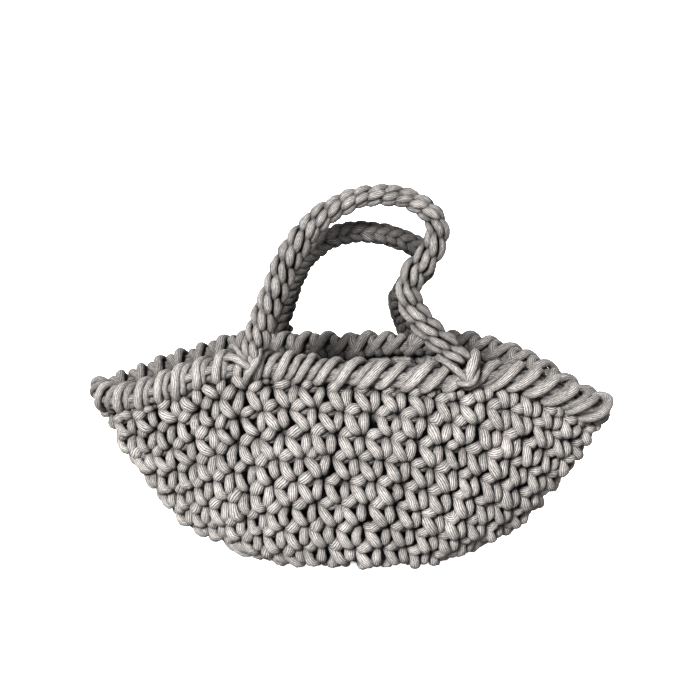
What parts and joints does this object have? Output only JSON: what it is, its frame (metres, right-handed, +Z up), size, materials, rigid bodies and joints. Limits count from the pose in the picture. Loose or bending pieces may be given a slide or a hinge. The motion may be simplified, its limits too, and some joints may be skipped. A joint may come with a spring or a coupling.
{
  "type": "basket bag",
  "caption": "Boat-shaped open basket bag crocheted from thick cotton cord, with a wrapped edging round the mouth and round crocheted hand loops.",
  "frame": {"origin": "on the floor under the middle of the bag", "axes": "+X along the mouth to the right seen from the front, +Y from the front to the back, +Z up"},
  "size_m": [0.4616, 0.1866, 0.3294],
  "materials": {
    "body_cord": "matte warm grey cotton cord, single crochet",
    "edging_cord": "matte warm grey cotton cord, wrapped round the edge",
    "handle_cord": "matte warm grey cotton cord, crocheted tube"
  },
  "bodies": {
    "root": {"basket_body": "body_cord", "rim_edging": "edging_cord", "front_handle": "handle_cord", "back_handle": "handle_cord"}
  },
  "joints": []
}
